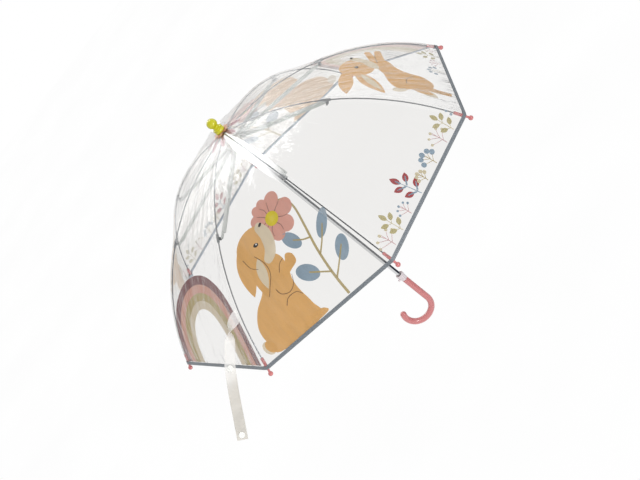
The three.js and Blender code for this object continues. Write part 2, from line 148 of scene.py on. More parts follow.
class Nodes:
    """The node tree of a material or a world, with short calls to add nodes and links."""

    def __init__(self, name, kind="Material"):
        shelf = bpy.data.worlds if kind == "World" else bpy.data.materials
        self.owner = shelf.new(name)
        self.owner.use_nodes = True
        self.tree = self.owner.node_tree
        self.tree.nodes.clear()
        self.out = self.add("Output" + kind)

    def add(self, kind, **values):
        node = self.tree.nodes.new("ShaderNode" + kind)
        for key, value in values.items():
            socket = node.inputs[key.replace("_", " ")]
            if isinstance(value, bpy.types.NodeSocket):
                self.tree.links.new(value, socket)
            else:
                socket.default_value = value
        return node

    def value(self, kind, output):
        return self.add(kind).outputs[output]

    def place(self, space, axis):
        return self.add("SeparateXYZ", Vector=self.value("TexCoord", space)).outputs[axis]

    def noise(self, scale, detail=3.0, roughness=0.55, stretch=(1, 1, 1), uv=False):
        place = self.value("TexCoord", "UV" if uv else "Object")
        mapping = self.add("Mapping", Vector=place, Scale=stretch)
        return self.add("TexNoise", Vector=mapping.outputs[0], Scale=scale, Detail=detail,
                        Roughness=roughness).outputs["Fac"]

    def ramp(self, fac, stops):
        node = self.add("ValToRGB", Fac=fac)
        band = node.color_ramp
        while len(band.elements) < len(stops):
            band.elements.new(0.5)
        for element, (at, colour) in zip(band.elements, stops):
            element.position, element.color = at, colour
        return node.outputs["Color"]

    def tone(self, fac, colour, vary, low=0.3, high=0.7):
        """The colour, a little darker where the noise is low and lighter where it is high."""
        return self.ramp(fac, [(low, scaled(colour, 1 - vary)), (high, scaled(colour, 1 + vary))])

    def span(self, value, low, high, to_low, to_high):
        return self.add("MapRange", Value=value, From_Min=low, From_Max=high, To_Min=to_low,
                        To_Max=to_high).outputs["Result"]

    def gloss(self, noise, low, high):
        return self.span(noise, 0.3, 0.7, low, high)

    def bump(self, height, distance, **more):
        return self.add("Bump", Height=height, Distance=distance, Strength=1.0, **more).outputs["Normal"]

    def body(self, **values):
        return self.add("BsdfPrincipled", **values).outputs[0]

    def clear(self, colour=(1, 1, 1, 1)):
        return self.add("BsdfTransparent", Color=colour).outputs[0]

    def mix(self, fac, a, b):
        node = self.add("MixShader", Fac=fac)
        self.tree.links.new(a, node.inputs[1])
        self.tree.links.new(b, node.inputs[2])
        return node.outputs[0]

    def finish(self, shader):
        self.tree.links.new(shader, self.out.inputs["Surface"])
        return self.owner


def scaled(colour, by):
    return tuple(min(1.0, c * by) for c in colour[:3]) + (1.0,)


def plastic(name, colour, rough, vary=0.08, scale=60, clear=0.0, grain=0.00004):
    """Moulded plastic: slight colour drift, uneven gloss and a very fine surface ripple."""
    n = Nodes(name)
    return n.finish(n.body(Base_Color=n.tone(n.noise(scale, 4), colour, vary),
                           Roughness=n.gloss(n.noise(scale * 3, 2), rough * 0.8, rough * 1.25),
                           Coat_Weight=clear, Coat_Roughness=0.05,
                           Normal=n.bump(n.noise(scale * 8, 3), grain)))


def metal(name, colour, rough, vary, scale=40, stretch=(1, 1, 0.08)):
    """Drawn metal, its marks long in the direction in which it was drawn."""
    n = Nodes(name)
    drift, marks, fine = (n.noise(scale * by, detail, stretch=stretch)
                          for by, detail in ((1, 4), (4, 3), (10, 2)))
    return n.finish(n.body(Base_Color=n.tone(drift, colour, vary), Metallic=1.0,
                           Roughness=n.gloss(marks, rough * 0.7, rough * 1.4), Normal=n.bump(fine, 0.00002)))


def rib_wire():
    """Dark drawn steel, duller and paler towards the crown, a painted sheen of the film's glare there."""
    n = Nodes("rib_wire")
    drift = n.noise(300, 4)
    dark = n.ramp(drift, [(0.3, (0.10, 0.11, 0.13, 1)), (0.7, (0.16, 0.17, 0.19, 1))])
    # the pale tone near the crown is a painted sheen
    pale = n.ramp(drift, [(0.3, (0.52, 0.54, 0.57, 1)), (0.7, (0.70, 0.72, 0.75, 1))])
    return n.finish(n.mix(n.span(n.place("Object", "Z"), 0.44, 0.465, 0, 0.55),
                          n.body(Base_Color=dark, Metallic=1.0, Roughness=0.34),
                          n.body(Base_Color=pale, Metallic=0.6, Roughness=0.42)))


def clear_film():
    """Thin clear vinyl: a faint warm grey, glossy, with fine wrinkles that catch the light."""
    n = Nodes("clear_film")
    fine = n.noise(22, 4, 0.6, stretch=(3.2, 0.5, 1), uv=True)
    broad = n.noise(7, 3, 0.5, stretch=(2.4, 0.6, 1), uv=True)
    normal = n.bump(fine, 0.0012, Normal=n.bump(broad, 0.006))
    gloss = n.add("BsdfGlossy", Color=(1, 1, 1, 1), Normal=normal,
                  Roughness=n.gloss(n.noise(14, 3, uv=True), 0.05, 0.16))
    # the same shine from both sides, as a thin sheet has
    index = n.span(n.value("NewGeometry", "Backfacing"), 0, 1, 1.7, 1 / 1.7)
    shine = n.add("Fresnel", IOR=index, Normal=normal)
    return n.finish(n.mix(shine.outputs[0], n.clear((0.880, 0.871, 0.857, 1)), gloss.outputs[0]))


def ink(name, colour, vary=0.10, opaque=0.95):
    """Printed ink on film: streaky, nearly opaque, paler on its back, a painted light standing for light
    shining through it from behind.
    """
    n = Nodes(name)
    streak = n.noise(9, 5, 0.65, stretch=(3.0, 0.5, 1), uv=True)
    stops = ((0.25, 1 - vary), (0.5, 1), (0.78, 1 + vary))
    front = n.ramp(streak, [(at, scaled(colour, by)) for at, by in stops])
    # the paler back is painted backlight
    back = n.tone(streak, tuple(c + (0.86 - c) * 0.5 for c in colour[:3]), vary / 2, 0.25, 0.78)
    front, back = (n.body(Base_Color=tone, Roughness=0.35, Specular_IOR_Level=0.15) for tone in (front, back))
    hold = n.gloss(n.noise(4.5, 3, 0.5, uv=True), opaque - 0.04, min(1.0, opaque + 0.04))
    side = n.value("NewGeometry", "Backfacing")
    return n.finish(n.mix(hold, n.clear(), n.mix(side, front, back)))


def painted_weld_glare():
    """White glowing painted glare along a weld, fading downwards."""
    n = Nodes("weld_painted_glare")
    body = n.body(Base_Color=(0.95, 0.95, 0.95, 1), Emission_Color=(1, 1, 1, 1), Emission_Strength=0.35,
                  Roughness=n.gloss(n.noise(9, 3, uv=True), 0.25, 0.45))
    return n.finish(n.mix(n.span(n.place("UV", "Y"), 0.68, 0.84, 0.06, 0.78), n.clear(), body))


def tape_cloth(name, dark, light):
    """Grey reflective tape: fine grain of tiny glass beads over a woven back."""
    n = Nodes(name)
    grain = n.noise(900, 2, 0.7)
    return n.finish(n.body(Base_Color=n.ramp(grain, [(0.3, dark), (0.7, light)]), Metallic=0.25,
                           Roughness=n.gloss(n.noise(30, 3), 0.36, 0.52), Normal=n.bump(grain, 0.00012)))


def strap_vinyl():
    """Milky soft plastic strip with a fine pressed texture along it, painted white near the seam as light and
    grey lower down as shade.
    """
    n = Nodes("strap_vinyl")
    cloud, height = n.noise(45, 4), n.place("Object", "Z")
    # painted shade: grey low down; painted light: white near the seam
    low = n.ramp(cloud, [(0.3, srgb(202, 198, 190)), (0.7, srgb(222, 218, 211))])
    high = n.ramp(cloud, [(0.3, srgb(244, 244, 246)), (0.7, srgb(253, 253, 253))])
    normal = n.bump(n.noise(420, 2), 0.0001, Normal=n.bump(n.noise(60, 2), 0.0006))
    ends = [n.body(Base_Color=tone, Roughness=0.28, Normal=normal) for tone in (low, high)]
    body = n.mix(n.span(height, 0.285, 0.315, 0, 1), *ends)
    return n.finish(n.mix(n.span(height, 0.285, 0.315, 0.6, 0.34), n.clear((0.96, 0.95, 0.93, 1)), body))


def studio_world():
    """White to the camera; to everything else a pale sky, greyer high up."""
    n = Nodes("studio", "World")
    greys = [(0.0, 0.95), (0.42, 0.94), (0.50, 0.94), (0.60, 0.92), (0.78, 0.66), (1.0, 0.70)]
    sky = n.ramp(n.span(n.place("Generated", "Z"), -1, 1, 0, 1), [(at, (v, v, v, 1)) for at, v in greys])
    dim = n.add("Background", Color=sky, Strength=0.95)
    white = n.add("Background", Color=(1, 1, 1, 1), Strength=1.0)
    return n.finish(n.mix(n.value("LightPath", "Is Camera Ray"), dim.outputs[0], white.outputs[0]))


def studio_floor():
    n = Nodes("studio_floor")
    tone = n.ramp(n.noise(2, 2), [(0.3, (0.985, 0.985, 0.985, 1)), (0.7, (1, 1, 1, 1))])
    return n.finish(n.add("Emission", Color=tone, Strength=1.0).outputs[0])


# each ink's colour, how far it varies, and its hold where that isn't the usual one
INKS = {
    "burgundy": ((116, 34, 36), 0.16), "pink": ((216, 154, 132), 0.08), "olive": ((182, 160, 88), 0.10),
    "beige": ((222, 206, 176), 0.06), "outline": ((92, 72, 66), 0.05), "tan": ((220, 170, 98), 0.09, 1.0),
    "cream": ((224, 210, 184), 0.05), "line": ((104, 72, 44), 0.05), "dark": ((26, 20, 20), 0.05),
    "petal": ((216, 157, 142), 0.09, 1.0), "petal_line": ((168, 100, 98), 0.05),
    "yellow": ((216, 198, 0), 0.08), "stem": ((176, 158, 104), 0.08), "blue": ((132, 155, 174), 0.10),
    "red": ((160, 26, 34), 0.12), "khaki": ((182, 172, 122), 0.08), "sand": ((206, 196, 166), 0.06),
    "white": ((240, 240, 236), 0.02), "mauve": ((178, 132, 142), 0.12), "brown": ((158, 108, 70), 0.14),
    "rose_stem": ((200, 156, 158), 0.06), "weld": ((232, 232, 230), 0.02, 0.12),
}
M = {"ink_" + name: ink("ink_" + name, srgb(*colour), *more) for name, (colour, *more) in INKS.items()}
M.update({
    # a glowing painted glare along the welds
    "ink_weld_painted_glare": painted_weld_glare(),
    "film": clear_film(),
    "tape": tape_cloth("hem_tape", srgb(84, 90, 95), srgb(140, 146, 152)),
    # the tape's inside is painted paler and bluer, the film's sheen over it
    "tape_painted_sheen": tape_cloth("hem_tape_painted_sheen", srgb(146, 156, 170), srgb(184, 194, 206)),
    "strap": strap_vinyl(),
    "chrome": metal("chrome", (0.66, 0.67, 0.68), 0.08, 0.03),
    "wire": rib_wire(),
    "spring": metal("spring_steel", (0.55, 0.56, 0.57), 0.28, 0.08),
    "clip": metal("clip_steel", (0.26, 0.28, 0.30), 0.30, 0.2, 200, (1, 1, 1)),
    "yellow": plastic("tip_yellow", srgb(190, 186, 0), 0.2, 0.05, 40, clear=0.6, grain=0.00001),
    "pink": plastic("handle_pink", srgb(198, 122, 122), 0.3, 0.03, 12, clear=0.5, grain=0.000004),
    "tip_pink": plastic("rib_tip_pink", srgb(196, 114, 114), 0.25, 0.06, 120, clear=0.4),
    "milk": plastic("milky_plastic", srgb(212, 201, 204), 0.34, 0.02, 30, clear=0.4, grain=0.000006),
    "bar": plastic("stretcher_plastic", srgb(196, 201, 200), 0.32, 0.05, 60),
    "white": plastic("white_plastic", srgb(236, 236, 232), 0.34, 0.03, 80),
    "petal_brown": plastic("rosette_brown", srgb(196, 136, 98), 0.45, 0.16, 320),
    "petal_tan": plastic("rosette_tan", srgb(218, 172, 138), 0.45, 0.14, 320),
    "board": plastic("black_board", srgb(42, 48, 62), 0.9),
    "floor": studio_floor(),
})


# ---- meshes

def mesh_object(name, points, faces, finishes, face_finish=None, uv=None):
    """A smooth mesh; face_finish gives each face's place in the list of finishes."""
    mesh = bpy.data.meshes.new(name)
    mesh.from_pydata([tuple(map(float, p)) for p in points], [], [tuple(map(int, f)) for f in faces])
    for finish in finishes:
        mesh.materials.append(M[finish])
    if face_finish is not None:
        mesh.polygons.foreach_set("material_index", np.asarray(face_finish, np.int32))
    mesh.polygons.foreach_set("use_smooth", [True] * len(mesh.polygons))
    if uv is not None:
        layer = mesh.uv_layers.new(name="UVMap")
        layer.data.foreach_set("uv", np.asarray(uv, np.float32).ravel())
    mesh.update()
    return linked(name, mesh)


def linked(name, data):
    obj = bpy.data.objects.new(name, data)
    bpy.context.scene.collection.objects.link(obj)
    return obj


def grid_faces(rows, columns, start=0, close=False):
    faces = []
    for r in range(start, start + (rows - 1) * columns, columns):
        for c in range(columns if close else columns - 1):
            d = (c + 1) % columns
            faces.append((r + c, r + d, r + columns + d, r + columns + c))
    return faces


def lathe(name, profile, finish, segments=48, place=None):
    """A piece turned about Z from its profile of radii and heights."""
    turns = [tau * k / segments for k in range(segments)]
    points = [(r * cos(t), r * sin(t), z) for r, z in profile for t in turns]
    obj = mesh_object(name, points, grid_faces(len(profile), segments, close=True), [finish])
    weld_ends(obj)
    if place is not None:
        obj.data.transform(place)
    return obj


def weld_ends(obj):
    """Join each ring without a radius into one point."""
    mesh = bmesh.new()
    mesh.from_mesh(obj.data)
    bmesh.ops.remove_doubles(mesh, verts=mesh.verts, dist=1e-6)
    bmesh.ops.dissolve_degenerate(mesh, edges=mesh.edges, dist=1e-7)
    bmesh.ops.recalc_face_normals(mesh, faces=mesh.faces)
    mesh.to_mesh(obj.data)
    mesh.free()
    obj.data.update()


def crease(obj, degrees):
    obj.data.set_sharp_from_angle(angle=radians(degrees))
    return obj


def finish_piece(obj, body, slot, *replaced):
    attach(obj, body)
    if replaced:
        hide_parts(*replaced)
    return obj


def fold_with_rib(obj):
    """Gives a piece its own copy of its mesh."""
    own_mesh(obj)


# ---- drawing in panel coordinates

def ellipse(cx, cy, rx, ry, turn=0.0, steps=30):
    """An ellipse round a centre, turned by degrees."""
    a = radians(turn)
    level = [(rx * cos(t), ry * sin(t)) for t in (tau * k / steps for k in range(steps))]
    return [(cx + x * cos(a) - y * sin(a), cy + x * sin(a) + y * cos(a)) for x, y in level]


def curve_through(points, closed, steps=6):
    """Catmull-Rom curve through the points."""
    count = len(points)
    out = []
    for k in range(count if closed else count - 1):
        near = [(j % count) if closed else min(max(j, 0), count - 1) for j in range(k - 1, k + 3)]
        p0, p1, p2, p3 = (np.array(points[j]) for j in near)
        for t in (step / steps for step in range(steps)):
            out.append(tuple(0.5 * (2 * p1 + (p2 - p0) * t + (2 * p0 - 5 * p1 + 4 * p2 - p3) * t * t
                                    + (3 * p1 - p0 - 3 * p2 + p3) * t ** 3)))
    if not closed:
        out.append(points[-1])
    return out


def blob(*points):
    return curve_through(points, True)


def leaf(x0, y0, x1, y1, width, full=1.0, steps=11):
    """A leaf from its base to its tip; full below 1 moves the widest part towards the base."""
    dx, dy = x1 - x0, y1 - y0
    length, blunt = hypot(dx, dy), 0.85
    left, right = [], []
    for t in (k / steps for k in range(steps + 1)):
        w = width / 2 * sin(pi * t ** full) ** blunt / length
        x, y = x0 + dx * t, y0 + dy * t
        left.append((x - dy * w, y + dx * w))
        right.append((x + dy * w, y - dx * w))
    return left[:-1] + right[:0:-1]


def stroke(points, width, end=None):
    """A drawn line through the points, from its width to its end width."""
    line = curve_through(points, False) if len(points) > 2 else list(points)
    end = width if end is None else end
    left, right = [], []
    for k, (x, y) in enumerate(line):
        (x0, y0), (x1, y1) = line[max(k - 1, 0)], line[min(k + 1, len(line) - 1)]
        dx, dy = x1 - x0, y1 - y0
        w = (width + (end - width) * k / (len(line) - 1)) / 2 / (hypot(dx, dy) or 1)
        left.append((x - dy * w, y + dx * w))
        right.append((x + dy * w, y - dx * w))
    return left + right[::-1]


def inside(outline, x, y):
    """Which of the points lie in the outline."""
    hit = np.zeros(len(x), bool)
    count = len(outline)
    for k in range(count):
        (x0, y0), (x1, y1) = outline[k], outline[(k + 1) % count]
        if y0 == y1:
            continue
        cross = (y0 > y) != (y1 > y)
        hit ^= cross & (x < (x1 - x0) * (y - y0) / (y1 - y0) + x0)
    return hit


def fill(outline, step=11.0):
    """Small triangles filling an outline, in millimetres, with an edge along the panel's middle."""
    points = [Vector(p) for p in outline]
    edges = [(k, (k + 1) % len(points)) for k in range(len(points))]
    low, high = np.min(outline, 0) - 1, np.max(outline, 0) + 1
    for axis in (0, 1):
        for k in range(ceil(low[axis] / step), floor(high[axis] / step) + 1):
            ends = [low.copy(), high.copy()]
            ends[0][axis] = ends[1][axis] = k * step
            edges.append((len(points), len(points) + 1))
            points += [Vector(end) for end in ends]
    verts, _, faces = delaunay_2d_cdt(points, edges, [], 0, 1e-5)[:3]
    co = np.array([tuple(v) for v in verts])
    tri = np.array(faces)
    mid = co[tri].mean(1)
    tri = tri[inside(outline, mid[:, 0], mid[:, 1])]
    return co, tri


UV_SPAN, UV_SHIFT = 0.3, 1.37  # metres to one unit of uv, and the step from panel to panel
WELD_OFF, INK_OFF, LAYER_STEP, LAYERS = 0.15, -0.75, 0.05, 12  # from the film, in millimetres


class Print:
    """The ink of one gore: shapes from the panels on its two sides."""

    def __init__(self):
        self.points, self.faces, self.index, self.uv, self.inks = ([] for _ in range(5))

    def add(self, panel, name, co, tri, layer):
        if not len(tri):
            return
        used, back = np.unique(tri, return_inverse=True)
        flat = co[used] * MM
        off = (WELD_OFF if name.startswith("weld") else INK_OFF + LAYER_STEP * min(layer, LAYERS)) * MM
        start = len(self.points)
        self.points += list(on_panel(panel, flat[:, 0], flat[:, 1], off))
        tri = back.reshape(-1, 3)
        self.faces += [tuple(start + t) for t in tri]
        if name not in self.inks:
            self.inks.append(name)
        self.index += [self.inks.index(name)] * len(tri)
        self.uv += list(flat[tri.ravel()] / UV_SPAN + np.array([panel * UV_SHIFT, 0]))


PRINTS = {rib: Print() for rib in range(1, RIBS + 1)}


def draw(panel, shapes):
    """Each shape is (ink, outline); later shapes lie over the earlier ones they meet."""
    laid = []
    for name, outline in shapes:
        low, high = np.min(outline, 0), np.max(outline, 0)
        layer = 0
        for other_name, other_low, other_high, below in laid:
            if (low < other_high).all() and (other_low < high).all():
                layer = max(layer, below + (name != other_name))
        laid.append((name, low, high, layer))
        co, tri = fill(outline)
        left = co[tri][:, :, 0].mean(1) < 0
        PRINTS[panel].add(panel, name, co, tri[left], layer)
        PRINTS[panel % RIBS + 1].add(panel, name, co, tri[~left], layer)


def arch(wide, tall, start, end):
    """Half a ring of points on the hem's line, by its half width and its height, from angle to angle."""
    foot, power = 2.5, 0.94  # a power under 1 makes the shoulders a little fuller
    return [(wide * cos(t), foot + (tall - foot) * sin(t) ** power)
            for t in np.linspace(start, end, 49)]


def rainbow():
    """Four bands, each from its own arch in to the next one's."""
    names = ("burgundy", "pink", "olive", "beige")
    sizes = ((123, 155), (108, 140), (93, 126), (77, 113), (62, 99))
    return [(name, arch(*outer, 0, pi) + arch(*inner, pi, 0))
            for name, outer, inner in zip(names, sizes, sizes[1:])]


def petal(cx, cy, degrees, near, far, width):
    """A petal with a narrow root and a broad round end."""
    a = radians(degrees)
    root, widest, steps = 0.34, 0.62, 14
    left, right = [], []
    for k in range(steps + 1):
        t = 1 - (1 - k / steps) ** 1.5
        if t < widest:
            half = width / 2 * (root + (1 - root) * sin(pi / 2 * t / widest))
        else:
            half = width / 2 * sqrt(max(0.0, 1 - ((t - widest) / (1 - widest)) ** 2))
        along = near + (far - near) * t
        x, y = cx + along * cos(a), cy + along * sin(a)
        left.append((x - half * sin(a), y + half * cos(a)))
        right.append((x + half * sin(a), y - half * cos(a)))
    return left + right[-2::-1]


def daisy(cx, cy, petals):
    """A flower from its petals' directions, lengths and widths."""
    shapes = [("petal", petal(cx, cy, turn, 5, far, width)) for turn, far, width in petals]
    for (one, _, _), (other, _, _) in zip(petals, petals[1:] + petals[:1]):
        a = radians((one + other) / 2 + (180 if other < one else 0))
        bend = a + 0.14 * sin(0.05 * one)
        line = [(cx + r * cos(t), cy + r * sin(t)) for r, t in ((10, a), (19, bend), (28, a))]
        shapes.append(("outline", stroke(line, 0.9, 0.6)))
    shapes.append(("yellow", ellipse(cx, cy, 11.8, 11.8)))
    return shapes


def flower():
    leaves = [(30, 121, 18.5, 11, 119), (86, 110, 23, 9, 46), (20, 67, 20, 13, 137), (88, 62, 20, 11, 54)]
    stems = [([(50, 3), (51, 40), (55, 84), (61, 124), (64, 158), (57, 180), (44, 188)], 4.6, 3.2),
             ([(52, 44), (37, 55), (22, 66)], 3.0, 2.2),
             ([(51, 32), (69, 47), (90, 66)], 3.0, 2.0),
             ([(54, 75), (70, 90), (86, 109)], 3.0, 1.8),
             ([(59, 105), (46, 110), (32, 120)], 3.0, 1.8)]
    petals = [(-98, 38, 25), (-54, 41, 27), (3, 42, 28), (60, 43, 27), (98, 40, 20), (122, 41, 19),
              (152, 40, 22), (190, 36, 22), (228, 36, 23)]
    return ([("blue", ellipse(*one)) for one in leaves]
            + [("stem", stroke(*one)) for one in stems] + daisy(23, 170, petals))


def sitting_rabbit():
    """A plain rabbit sitting up, facing right, of rounded shapes."""
    return [
        ("cream", ellipse(-108, 19, 9, 12, 15)),
        ("tan", ellipse(-104, 19, 8, 11, 15)),
        ("tan", blob((-96, 3), (-104, 28), (-101, 52), (-84, 74), (-58, 92), (-46, 120), (-22, 134),
                     (-2, 120), (1, 98), (-6, 76), (-7, 56), (-4, 30), (-8, 3))),
        ("tan", blob((-44, 3), (-30, 14), (-6, 15), (6, 10), (4, 3))),
        ("tan", leaf(-46, 174, -74, 92, 31, 0.9)),
        ("tan", ellipse(-28, 154, 35, 30, 18)),
        ("tan", blob((-22, 96), (-4, 98), (8, 112), (18, 106), (17, 93), (4, 88), (-14, 84))),
        ("tan", leaf(-36, 142, -55, 78, 28, 0.9)),
        ("cream", leaf(-34, 136, -47, 88, 17, 0.9)),
        ("cream", blob((-12, 176), (-3, 182), (4, 176), (10, 160), (7, 140), (-4, 123), (-20, 117),
                       (-26, 126), (-15, 140), (-11, 158))),
        ("line", stroke([(-36, 142), (-28, 122), (-30, 104), (-44, 88), (-54, 78)], 1.2, 0.7)),
        ("line", stroke([(-56, 150), (-52, 132), (-42, 122)], 1.2, 0.6)),
        ("line", stroke([(-40, 50), (-30, 58), (-14, 57), (-7, 48)], 1.2, 0.7)),
        ("line", stroke([(-38, 80), (-35, 69), (-22, 63), (-9, 69), (-2, 82)], 1.2, 0.7)),
        ("line", stroke([(-17, 96), (-9, 106), (1, 110)], 1.2, 0.7)),
        ("dark", ellipse(-24, 155, 4.8, 3.2, -8, 18)),
        ("dark", ellipse(0, 176, 3.8, 2.4, 25, 18)),
        ("white", ellipse(-22.6, 155.6, 1.7, 1.3, 0, 10)),
    ]


def leaping_rabbit():
    """The same plain rabbit in a leap, facing right."""
    return [
        ("cream", leaf(-62, 66, -92, 34, 18, 1.3)),
        ("tan", leaf(-60, 76, -82, 40, 18, 1.2)),
        ("tan", stroke([(-54, 52), (-66, 34), (-71, 8)], 17, 11)),
        ("cream", ellipse(-70, 92, 9, 13, 20)),
        ("tan", blob((-66, 94), (-44, 106), (-10, 112), (18, 122), (46, 116), (36, 98), (8, 86), (-8, 70),
                     (-18, 48), (-40, 34), (-60, 40), (-68, 66))),
        ("tan", stroke([(14, 108), (42, 110), (71, 111)], 17, 12)),
        ("tan", stroke([(18, 116), (46, 122), (69, 128)], 16, 11)),
        ("tan", ellipse(71, 111, 6.5, 6.2, 0, 18)),
        ("tan", ellipse(69, 128, 6.2, 5.8, 0, 18)),
        ("tan", leaf(12, 172, -74, 178, 25, 0.9)),
        ("tan", ellipse(18, 152, 32, 29, 20)),
        ("tan", leaf(2, 156, -86, 118, 25, 0.9)),
        ("cream", leaf(-8, 148, -74, 121, 12, 0.9)),
        ("cream", blob((6, 118), (20, 116), (34, 122), (46, 134), (56, 150), (56, 160), (46, 156),
                       (34, 140), (18, 132))),
        ("line", stroke([(-46, 78), (-30, 76), (-18, 62)], 1.3, 0.7)),
        ("line", stroke([(30, 116), (48, 117), (64, 118)], 1.3, 0.7)),
        ("dark", ellipse(20, 152, 4.6, 3.4, 0, 18)),
        ("dark", ellipse(56, 157, 3.4, 2.8, 0, 18)),
        ("white", ellipse(21.4, 153, 1.2, 1.0, 0, 10)),
    ]


FOOT = 4.0  # where the meadow's stems start


def sprig(x, tall, name, stem, lean=0.0, core=None):
    """A stem with two pairs of leaves and one at the top; core draws a line along each leaf."""
    size = tall * 0.36
    shapes = [(stem, stroke([(x, FOOT), (x + lean * 0.5, FOOT + tall * 0.4), (x + lean, FOOT + tall * 0.72)],
                            1.5, 0.9))]
    top = (x + lean, FOOT + tall * 0.66)
    shapes.append((name, leaf(*top, top[0] + lean * 0.4, top[1] + size, size * 0.52, 0.9)))
    for k in (0, 1):
        y = FOOT + tall * (0.12 + 0.34 * k)
        at = x + lean * (0.1 + 0.25 * k)
        for way in (-1, 1):
            def spot(out, up):
                return (at + way * size * out, y + size * up)
            shapes.append((stem, stroke([(at, y), spot(0.4, 0.3)], 1.1, 0.8)))
            shapes.append((name, leaf(*spot(0.26, 0.2), *spot(0.98, 0.72), size * 0.52, 0.9)))
            if core:
                shapes.append((core, stroke([spot(0.1, 0.08), spot(0.72, 0.54)], size * 0.17, size * 0.07)))
    if core:
        shapes.append((core, stroke([top, (top[0], top[1] + size * 0.5)], size * 0.17, size * 0.07)))
    return shapes


def berries(x, tall, name, stem, size=2.6, spread=0.6):
    """A branched stem with a berry on each branch."""
    shapes = [(stem, stroke([(x, FOOT), (x + 1, FOOT + tall * 0.5), (x + 2, FOOT + tall * 0.84)], 1.3, 0.7))]
    # each branch's side, where it leaves the stem and where it ends
    branches = ((-1, 0.34, 0.62), (1, 0.30, 0.56), (-0.6, 0.6, 0.92), (0.75, 0.56, 0.86), (0, 0.8, 1.0))
    for k, (way, low, high) in enumerate(branches):
        tip = (x + way * tall * spread, FOOT + tall * high * 0.9)
        line = [(x + 1, FOOT + tall * low * 0.7), ((x + tip[0]) / 2, FOOT + tall * (low + high) * 0.42), tip]
        shapes.append((stem, stroke(line, 1.0, 0.6)))
        shapes.append((name, ellipse(*tip, size * (1 + 0.12 * sin(k * 2.1)), size, 20 * k, 14)))
    return shapes


def meadow():
    dots = [("blue", ellipse(x, y, r, 2.4, 0, 14)) for x, y, r in ((124, 18, 2.4), (125.5, 27, 2.2))]
    return (berries(-110, 30, "sand", "rose_stem", 2.6)
            + sprig(-84, 42, "khaki", "sand", 2)
            + berries(-54, 24, "blue", "rose_stem", 2.0, 0.5)
            + sprig(-17, 52, "red", "blue", -2, "blue")
            + berries(7, 21, "sand", "stem", 3.2, 0.42)
            + berries(39, 28, "blue", "stem", 4.4, 0.46)
            + berries(78, 32, "sand", "rose_stem", 2.4, 0.5)
            + sprig(103, 42, "khaki", "sand", 2) + dots)


def small_meadow():
    return (berries(18, 30, "blue", "sand", 3.6, 0.4)
            + berries(50, 22, "mauve", "rose_stem", 1.8, 0.5)
            + sprig(78, 40, "khaki", "sand", 2)
            + berries(100, 22, "sand", "rose_stem", 2.0, 0.4))


def crown_petals(panel):
    """Petals round the top of the dome, and weld strips along the sides, on some with a painted glare, whiter
    towards the top.
    """
    shapes = [("mauve", leaf(1, 394, -3, 362, 11, 1.3)),
              ("petal_line", stroke([(1, 388), (-1, 378), (-2, 368)], 1.4, 0.5)),
              ("brown", leaf(-1, 400, 3, 384, 8, 1.2))]
    margin = 1.2
    # the listed panels get a painted glare on the weld's upper part, widened
    for way, wide, glare_panels in ((-1, 4.0, (3, 7)), (1, 9.0, (2, 6))):
        white = panel in glare_panels
        bands = ((6, 200, "weld"), (200, 384, "weld_painted_glare")) if white else ((6, 340, "weld"),)
        for low, high, name in bands:
            outer, inner = [], []
            for up in np.linspace(low, high, max(3, (high - low) // 8)):
                edge = float(half_width(angle_at(up * MM))) / MM - margin
                width = wide + (4.0 * float(smoothstep(up, 195, 240)) if white else 0.0)
                outer.append((way * edge, up))
                inner.append((way * (edge - width * min(1, (edge + margin) / 30)), up))
            shapes.append((name, outer + inner[::-1]))
    return shapes


PICTURES = (rainbow(), flower() + sitting_rabbit(), meadow(), small_meadow() + leaping_rabbit())
for _first, _picture in enumerate(PICTURES, 1):
    for _panel in (_first, _first + len(PICTURES)):
        draw(_panel, crown_petals(_panel) + _picture)

# ---- film, prints and hem tape

# places from a rib to the middle of a panel, and angles from the crown to the hem
COLUMNS = [0, 0.011, 0.024, 0.045, 0.08, 0.13, 0.2, 0.29, 0.39, 0.5, 0.62, 0.74, 0.87, 1.0]
ROWS = np.concatenate([np.linspace(TOP, 0.18, 16), np.linspace(0.18, HEM, 46)[1:]])


def surface_normal(panel, angle, across):
    step = 1e-3
    along = film(panel, angle + step, across) - film(panel, angle - step, across)
    low, high = np.clip(across - step, -1, 1), np.clip(across + step, -1, 1)
    side = film(panel, angle, high) - film(panel, angle, low)
    return unit(np.cross(along, side))


def gore_spans(rib, shares):
    """Panel and place across it, from the middle of the panel before a rib to the middle of its own."""
    before = (rib - 2) % RIBS + 1
    return [(before, s) for s in shares] + [(rib, -s) for s in shares[-2::-1]]


def unit(vectors):
    return vectors / np.linalg.norm(vectors, axis=-1, keepdims=True)


def gore_piece(rib):
    """The film from a rib half way to its neighbours, with the normals of the whole canopy."""
    spans = gore_spans(rib, [1 - c for c in COLUMNS[::-1]])
    points, normals = [], []
    for panel, across in spans:
        wide = np.full(len(ROWS), across)
        points.append(film(panel, ROWS, wide))
        normals.append(surface_normal(panel, ROWS, wide))
    ridge = len(COLUMNS) - 1
    normals[ridge] = unit(normals[ridge] + surface_normal(rib, ROWS, np.full(len(ROWS), -1.0)))
    rows = len(ROWS)
    faces = grid_faces(len(spans), rows)
    half, up = half_width(ROWS), np.interp(-ROWS, -_angles, _up)

    def flat(panel, across):
        return np.stack([across * half / UV_SPAN + panel * UV_SHIFT, up / UV_SPAN], -1)

    flats = [flat(*span) for span in spans]
    ridge_right = flat(rib, -1)
    uv = []
    for f in faces:
        for v in f:
            c, r = divmod(v, rows)
            uv.append((ridge_right if c == ridge and min(f) // rows >= ridge else flats[c])[r])
    obj = mesh_object(f"film_{rib}", np.array(points).reshape(-1, 3), faces, ["film"], uv=uv)
    obj.data.normals_split_custom_set_from_vertices(np.array(normals).reshape(-1, 3).tolist())
    return obj


TAPE_UP, TAPE_STAND = 0.0015, 0.00045
TIP_BULGE, TIP_REACH = 0.0062, 0.0052  # how far the tape stands off round a rib's tip


